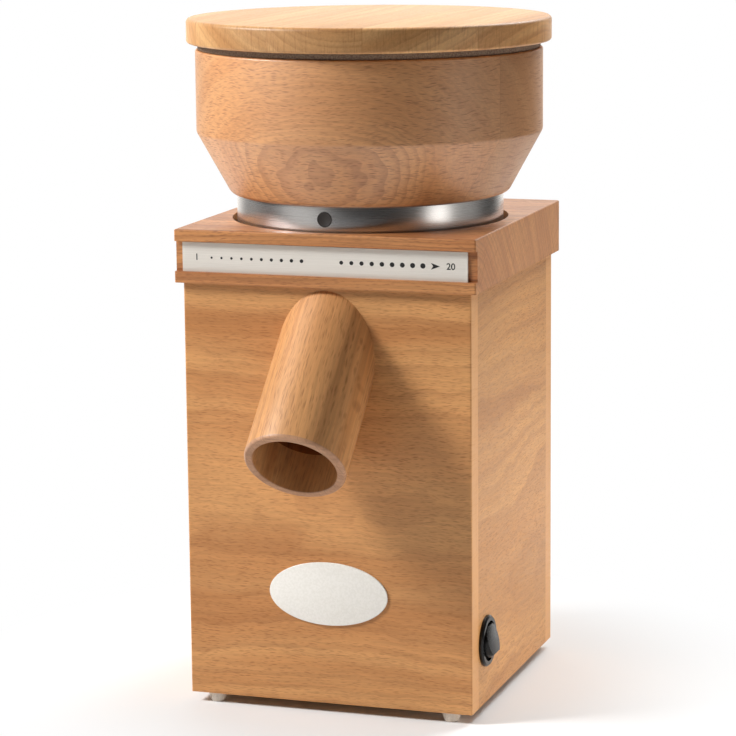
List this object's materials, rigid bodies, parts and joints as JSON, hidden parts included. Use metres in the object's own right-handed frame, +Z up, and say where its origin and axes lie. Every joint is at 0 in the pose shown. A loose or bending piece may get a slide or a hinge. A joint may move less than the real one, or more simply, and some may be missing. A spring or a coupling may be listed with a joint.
{
  "type": "electric grain mill",
  "caption": "Table-top grain mill: square beech case with a slanted wooden spout, a turned hopper bowl with a flat lid on a threaded metal ring, a motor and two millstones.",
  "frame": {"origin": "on the floor that the feet rest on, under the axis of the hopper, the stones and the motor", "axes": "+Z up along the hopper's axis, -Y towards the front panel with the spout, +X towards the side with the switch"},
  "size_m": [0.1794, 0.2224, 0.335],
  "materials": {
    "case_beech": "oiled flat-sawn beech, grain level",
    "board_beech": "oiled beech, redder, end grain at the sides",
    "base_ply": "birch plywood, unfinished",
    "bowl_beech": "turned beech staves, oiled",
    "lid_beech": "turned beech, pale and fine",
    "spout_beech": "turned beech, grain along the tube",
    "seal_grey": "soft grey seal",
    "ring_aluminium": "fine turned, satin",
    "thread_aluminium": "plain turned",
    "dot_black": "matte",
    "plate_aluminium": "brushed, warm grey",
    "oval_enamel": "off-white satin",
    "foot_rubber": "milky off-white",
    "screw_steel": "zinc plated",
    "holder_plastic": "ivory, food grade",
    "mill_stone": "fine sintered grain",
    "chamber_plastic": "black moulded",
    "felt_seal": "grey felt",
    "core_steel": "varnished laminations",
    "winding_copper": "varnished copper wire",
    "shield_aluminium": "die cast",
    "bearing_steel": "ground",
    "capacitor_white": "plain white can",
    "terminal_ivory": "moulded",
    "contact_brass": "plain",
    "gland_black": "black moulded",
    "switch_black": "glossy black"
  },
  "bodies": {
    "case": {"front_panel": "case_beech", "back_panel": "case_beech", "left_panel": "case_beech", "right_panel": "case_beech", "front_cleat": "case_beech", "back_cleat": "case_beech", "top_board": "board_beech", "base_board": "base_ply", "spout": "spout_beech", "thread_ring": "thread_aluminium", "scale_plate": "plate_aluminium", "oval_plate": "oval_enamel", "foot_front_left": "foot_rubber", "foot_front_right": "foot_rubber", "foot_back_left": "foot_rubber", "foot_back_right": "foot_rubber", "base_screws": "screw_steel", "chamber_screws": "screw_steel", "motor_screws": "screw_steel", "tie_rods": "screw_steel", "capacitor_clip": "screw_steel", "milling_chamber": "chamber_plastic", "switch_clip": "chamber_plastic", "shaft_seal": "felt_seal", "stator_core": "core_steel", "stator_windings": "winding_copper", "upper_end_shield": "shield_aluminium", "lower_end_shield": "shield_aluminium", "upper_bearing": "bearing_steel", "lower_bearing": "bearing_steel", "capacitor": "capacitor_white", "terminal_block": "terminal_ivory", "terminal_screws": "contact_brass", "switch_blades": "contact_brass", "cable_gland": "gland_black", "gland_nut": "gland_black", "switch_body": "switch_black"},
    "sleeve": {"threaded_sleeve": "thread_aluminium"},
    "hopper": {"hopper_bowl": "bowl_beech", "index_ring": "ring_aluminium", "index_dot": "dot_black", "stone_holder": "holder_plastic", "holder_screws": "screw_steel", "upper_stone": "mill_stone"},
    "lid": {"lid_disc": "lid_beech", "lid_step": "lid_beech", "lid_seal": "seal_grey"},
    "rotor": {"motor_shaft": "bearing_steel", "rotor_core": "core_steel", "cooling_fan": "chamber_plastic", "stone_carrier": "chamber_plastic", "carrier_nut": "screw_steel", "lower_stone": "mill_stone"},
    "rocker": {"switch_rocker": "switch_black"}
  },
  "joints": [
    {"name": "hopper_rise", "type": "slide", "parent": "case", "child": "sleeve", "axis": [0, 0, 1], "range_m": [-0.00068, 0.0121]},
    {"name": "hopper_turn", "type": "hinge", "parent": "sleeve", "child": "hopper", "pos_m": [0, 0, 0.2463], "axis": [0, 0, 1], "range_deg": [-60, 1080]},
    {"name": "lid_lift", "type": "slide", "parent": "hopper", "child": "lid", "axis": [0, 0, 1], "range_m": [0, 0.06]},
    {"name": "switch_rock", "type": "hinge", "parent": "case", "child": "rocker", "pos_m": [0.0721, -0.046, 0.036], "axis": [0, 1, 0], "range_deg": [0, 30]},
    {"name": "rotor_spin", "type": "hinge", "parent": "case", "child": "rotor", "pos_m": [0, 0, 0.1], "axis": [0, 0, 1], "continuous": true}
  ],
  "couplings": [
    {"joint": "hopper_rise", "follows": "hopper_turn", "m_per_rad": 0.00063662}
  ]
}
